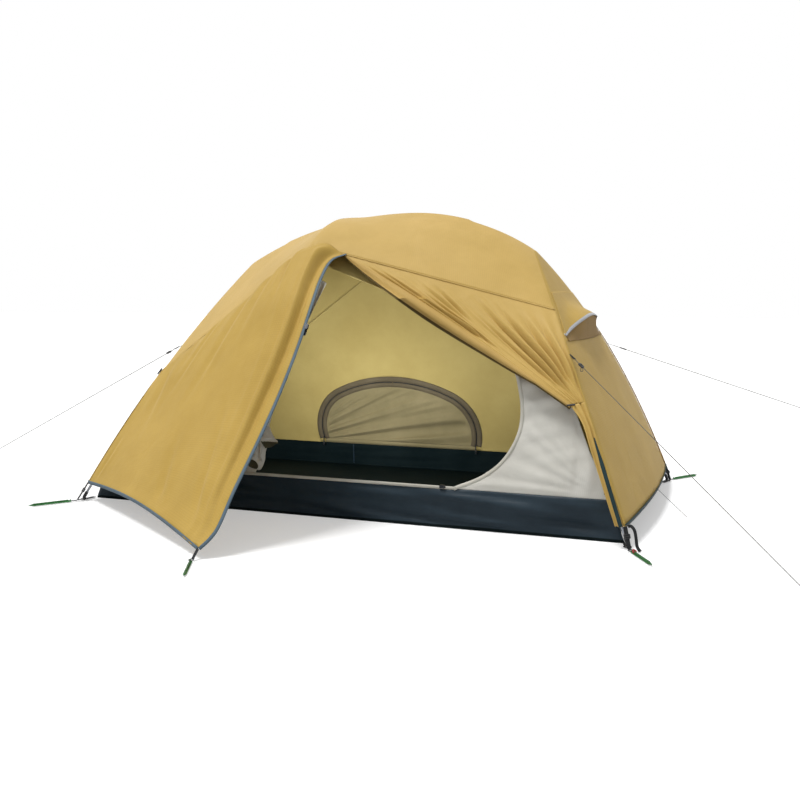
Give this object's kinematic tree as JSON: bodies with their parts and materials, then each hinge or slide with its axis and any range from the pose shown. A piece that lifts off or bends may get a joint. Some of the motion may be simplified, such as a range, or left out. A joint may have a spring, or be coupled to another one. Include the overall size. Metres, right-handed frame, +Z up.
{
  "type": "tent on poles",
  "caption": "Small tent held up by bent poles meeting at hubs, with an inner tent, tub floor, fly with a rolled door and a porch, guylines and ground stakes.",
  "frame": {"origin": "centre of the tub floor's underside, on the ground", "axes": "+X along the bed towards the hooded end, +Y from the doorway to the rear, +Z up"},
  "size_m": [4.0528, 2.5718, 1.141],
  "materials": {
    "pole": "satin",
    "hub": "matt",
    "fly": "woven polyester, matt",
    "hood": "woven polyester, matt",
    "inner": "thin breathable cloth",
    "back_wall": "thin breathable cloth",
    "window": "thin cloth",
    "floor": "coated cloth",
    "fly_zip": "zip tape",
    "inner_zip": "zip tape",
    "window_zip": "zip tape",
    "slider": "painted metal look",
    "webbing": "webbing",
    "line": "braided cord",
    "fitting": "moulded",
    "eyelet": "plated",
    "stake": "painted"
  },
  "bodies": {
    "shelter": {"corner_grommets": "eyelet", "corner_tabs": "webbing", "cross_clip": "hub", "cross_pole": "pole", "floor_tub": "floor", "fly_door_folds": "fly", "fly_door_foot": "fly", "fly_door_head": "fly", "fly_door_zip": "fly_zip", "fly_end_foot": "fly", "fly_end_head": "fly", "fly_rear_panels": "fly", "fly_roof_front": "fly", "fly_roof_rear": "fly", "fly_wraps": "hub", "ground_stakes": "stake", "ground_straps": "webbing", "guy_loops": "webbing", "guyline_front_left": "line", "guyline_front_right": "line", "guyline_rear_right": "line", "hem_line": "line", "inner_clips": "hub", "inner_door": "inner", "inner_door_zip": "inner_zip", "inner_end_foot": "inner", "inner_end_head": "inner", "inner_front_foot": "inner", "inner_front_head": "inner", "inner_rear_panel": "back_wall", "inner_rear_wings": "inner", "inner_roof_front": "inner", "inner_roof_rear": "inner", "leg_pole_front_left": "pole", "leg_pole_front_right": "pole", "leg_pole_rear_left": "pole", "leg_pole_rear_right": "pole", "pole_ferrules": "pole", "pole_hub_foot": "hub", "pole_hub_head": "hub", "pole_tips": "hub", "ridge_pole": "pole", "window_panel": "window", "window_zip": "window_zip"},
    "door_slider_body": {"door_slider": "slider"},
    "door_pull_body": {"door_pull": "slider"},
    "window_slider_head_body": {"window_slider_head": "slider"},
    "window_slider_foot_body": {"window_slider_foot": "slider"},
    "inner_door_slider_body": {"inner_door_slider": "slider"},
    "vent_hood_body": {"vent_hood": "hood"},
    "vent_strut_body": {"vent_strut": "fitting"},
    "tensioner_front_right_body": {"tensioner_front_right": "fitting"},
    "tensioner_front_left_body": {"tensioner_front_left": "fitting"},
    "tensioner_rear_right_body": {"tensioner_rear_right": "fitting"},
    "corner_buckle_front_right_body": {"corner_buckle_front_right": "fitting"},
    "corner_buckle_rear_right_body": {"corner_buckle_rear_right": "fitting"},
    "corner_buckle_front_left_body": {"corner_buckle_front_left": "fitting"},
    "corner_buckle_rear_left_body": {"corner_buckle_rear_left": "fitting"},
    "tie_toggle_head_body": {"tie_toggle_head": "fitting"},
    "tie_toggle_foot_body": {"tie_toggle_foot": "fitting"}
  },
  "joints": [
    {"name": "door_slider_run", "type": "hinge", "parent": "shelter", "child": "door_slider_body", "pos_m": [-3.41286, -0.70789, 0.73043], "axis": [-0.0099, 0.7883, -0.6151], "range_deg": [-1.11, 14.01]},
    {"name": "door_pull_swing", "type": "hinge", "parent": "door_slider_body", "child": "door_pull_body", "pos_m": [-0.03927, -0.68237, 0.70063], "axis": [0.9999, 0.0064, -0.0079], "range_deg": [0, 150]},
    {"name": "window_slider_head_run", "type": "hinge", "parent": "shelter", "child": "window_slider_head_body", "pos_m": [0.0231, 0.52502, 0.17279], "axis": [0, -0.9698, -0.2439], "range_deg": [0, 62]},
    {"name": "window_slider_foot_run", "type": "hinge", "parent": "shelter", "child": "window_slider_foot_body", "pos_m": [-0.3486, 0.52502, 0.17279], "axis": [0, -0.9698, -0.2439], "range_deg": [-62, 0]},
    {"name": "inner_door_slider_run", "type": "slide", "parent": "shelter", "child": "inner_door_slider_body", "axis": [-1, 0, 0], "range_m": [0, 0.69]},
    {"name": "vent_hood_lift", "type": "hinge", "parent": "shelter", "child": "vent_hood_body", "pos_m": [0.7217, 0, 0.82972], "axis": [0, -1, 0], "range_deg": [0, 10]},
    {"name": "vent_strut_fold", "type": "hinge", "parent": "shelter", "child": "vent_strut_body", "pos_m": [0.81943, 0, 0.66628], "axis": [0, -1, 0], "range_deg": [0, 20]},
    {"name": "tensioner_front_right_run", "type": "slide", "parent": "shelter", "child": "tensioner_front_right_body", "axis": [0.665, -0.5531, -0.5019], "range_m": [-0.024, 1.05]},
    {"name": "tensioner_front_left_run", "type": "slide", "parent": "shelter", "child": "tensioner_front_left_body", "axis": [-0.8968, 0.1978, -0.3958], "range_m": [-0.024, 1.359]},
    {"name": "tensioner_rear_right_run", "type": "slide", "parent": "shelter", "child": "tensioner_rear_right_body", "axis": [0.8879, 0.3358, -0.3145], "range_m": [-0.024, 0.758]},
    {"name": "corner_buckle_front_right_run", "type": "slide", "parent": "shelter", "child": "corner_buckle_front_right_body", "axis": [0.2572, -0.3442, -0.903], "range_m": [-0.012, 0.012]},
    {"name": "corner_buckle_rear_right_run", "type": "slide", "parent": "shelter", "child": "corner_buckle_rear_right_body", "axis": [0.2572, 0.3442, -0.903], "range_m": [-0.012, 0.012]},
    {"name": "corner_buckle_front_left_run", "type": "slide", "parent": "shelter", "child": "corner_buckle_front_left_body", "axis": [-0.3364, -0.4565, -0.8237], "range_m": [-0.012, 0.012]},
    {"name": "corner_buckle_rear_left_run", "type": "slide", "parent": "shelter", "child": "corner_buckle_rear_left_body", "axis": [-0.3364, 0.4565, -0.8237], "range_m": [-0.012, 0.012]},
    {"name": "tie_toggle_head_turn", "type": "hinge", "parent": "shelter", "child": "tie_toggle_head_body", "pos_m": [0.85576, -0.51549, 0.44795], "axis": [-0.7177, 0.6279, -0.3011], "range_deg": [-12, 12]},
    {"name": "tie_toggle_foot_turn", "type": "hinge", "parent": "shelter", "child": "tie_toggle_foot_body", "pos_m": [-0.83965, -0.39989, 0.50589], "axis": [0.7488, 0.5179, -0.4137], "range_deg": [-12, 12]}
  ]
}
